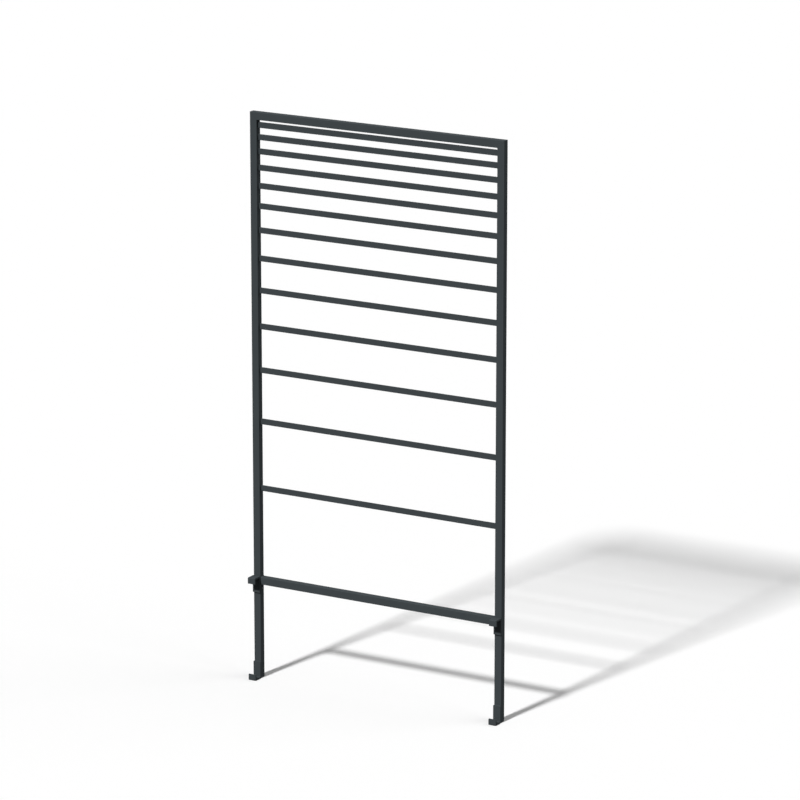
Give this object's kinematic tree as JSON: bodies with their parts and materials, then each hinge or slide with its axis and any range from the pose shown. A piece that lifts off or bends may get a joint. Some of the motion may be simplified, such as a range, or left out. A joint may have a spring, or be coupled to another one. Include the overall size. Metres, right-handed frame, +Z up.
{
  "type": "garden privacy screen",
  "caption": "Slim powder-coated ladder screen for a plant box: tube frame, flat slats set wider apart towards the bottom, J-shaped feet and hooks that clip over the box wall.",
  "frame": {"origin": "on the ground, in the middle of the overall width and of the overall depth (posts and brackets together)", "axes": "+X along the width, to the right seen from the front; +Y to the back, so that the feet and hooks point to -Y; +Z up"},
  "size_m": [0.701, 0.044, 1.4325],
  "materials": {
    "coated_metal": "fine-texture matt powder coat, anthracite grey",
    "plug_plastic": "moulded, matt black"
  },
  "bodies": {
    "root": {"post_left": "coated_metal", "post_right": "coated_metal", "top_rail": "coated_metal", "bottom_rail": "coated_metal", "slat_01": "coated_metal", "slat_02": "coated_metal", "slat_03": "coated_metal", "slat_04": "coated_metal", "slat_05": "coated_metal", "slat_06": "coated_metal", "slat_07": "coated_metal", "slat_08": "coated_metal", "slat_09": "coated_metal", "slat_10": "coated_metal", "slat_11": "coated_metal", "slat_12": "coated_metal", "slat_13": "coated_metal", "foot_left": "coated_metal", "foot_right": "coated_metal", "hook_left": "coated_metal", "hook_right": "coated_metal", "plug_left": "plug_plastic", "plug_right": "plug_plastic"}
  },
  "joints": []
}
